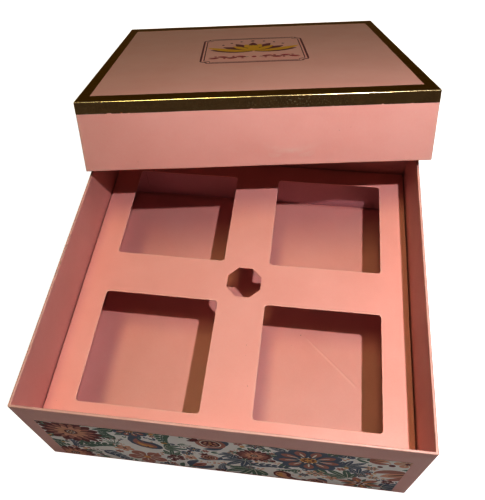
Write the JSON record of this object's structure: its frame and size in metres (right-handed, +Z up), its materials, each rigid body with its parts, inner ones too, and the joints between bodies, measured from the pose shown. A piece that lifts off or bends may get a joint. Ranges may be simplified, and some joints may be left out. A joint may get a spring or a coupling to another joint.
{
  "type": "sweet box",
  "caption": "Square wrapped-board sweet box with a windowed platform tray, and its gold-edged lift-off lid propped open on the back.",
  "frame": {"origin": "middle of the base's underside, on the surface it stands on", "axes": "+X to the right seen from the front, +Y from the front wall to the rear wall and on to the propped lid, +Z up"},
  "size_m": [0.2679, 0.4318, 0.1403],
  "materials": {
    "greyboard": "matte",
    "paper_tape": "matte",
    "pink_paper": "matte",
    "pink_card": "matte",
    "printed_paper": "matte",
    "gold_foil": "gloss"
  },
  "bodies": {
    "base": {"base_bottom_sheet": "pink_paper", "base_floor_board": "greyboard", "base_front_board": "greyboard", "base_rear_board": "greyboard", "base_left_board": "greyboard", "base_right_board": "greyboard", "base_corner_stays": "paper_tape", "base_wrap": "pink_paper", "base_floor_lining": "pink_paper", "front_print_panel": "printed_paper", "rear_print_panel": "printed_paper", "left_print_panel": "printed_paper", "right_print_panel": "printed_paper"},
    "tray": {"tray_deck": "pink_card", "tray_front_skirt": "pink_card", "tray_rear_skirt": "pink_card", "tray_left_skirt": "pink_card", "tray_right_skirt": "pink_card", "tray_glue_tabs": "pink_card"},
    "lid": {"lid_top_board": "greyboard", "lid_front_board": "greyboard", "lid_rear_board": "greyboard", "lid_left_board": "greyboard", "lid_right_board": "greyboard", "lid_corner_stays": "paper_tape", "lid_wrap": "pink_paper", "lid_lining": "pink_paper", "lid_gold_border": "gold_foil"}
  },
  "joints": [
    {"name": "tray_lift", "type": "slide", "parent": "base", "child": "tray", "axis": [0, 0, 1], "range_m": [0, 0.1]},
    {"name": "lid_lift", "type": "slide", "parent": "tray", "child": "lid", "axis": [0, 0, 1], "range_m": [0, 0.12]}
  ]
}
